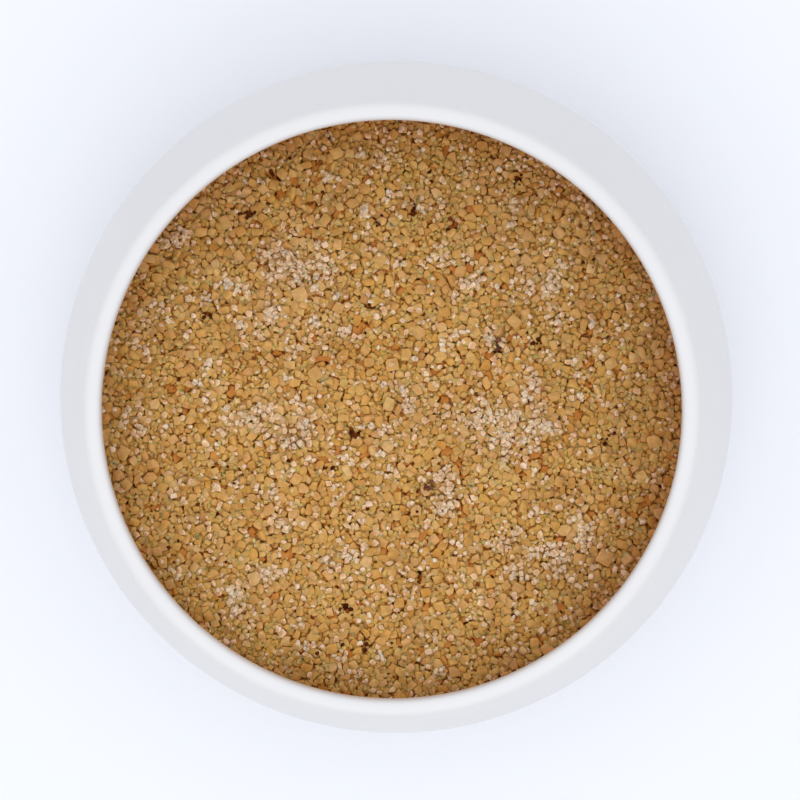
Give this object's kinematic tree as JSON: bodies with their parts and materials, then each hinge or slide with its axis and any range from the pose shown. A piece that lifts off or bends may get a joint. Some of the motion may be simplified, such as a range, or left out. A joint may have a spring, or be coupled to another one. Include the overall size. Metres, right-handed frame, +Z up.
{
  "type": "bowl of brown sugar",
  "caption": "Round white glazed bowl with a closed-in mouth, filled to about a centimetre below its lip with coarse brown cane sugar.",
  "frame": {"origin": "middle of the flat base, on the surface that the bowl stands on", "axes": "+Z up along the bowl's axis, +Y the top of the picture, +X its right"},
  "size_m": [0.081, 0.081, 0.042],
  "materials": {
    "white_glaze": "smooth satin white glaze",
    "brown_sugar": "loose amber crystals with paler fines"
  },
  "bodies": {
    "root": {"bowl": "white_glaze", "sugar": "brown_sugar"}
  },
  "joints": []
}
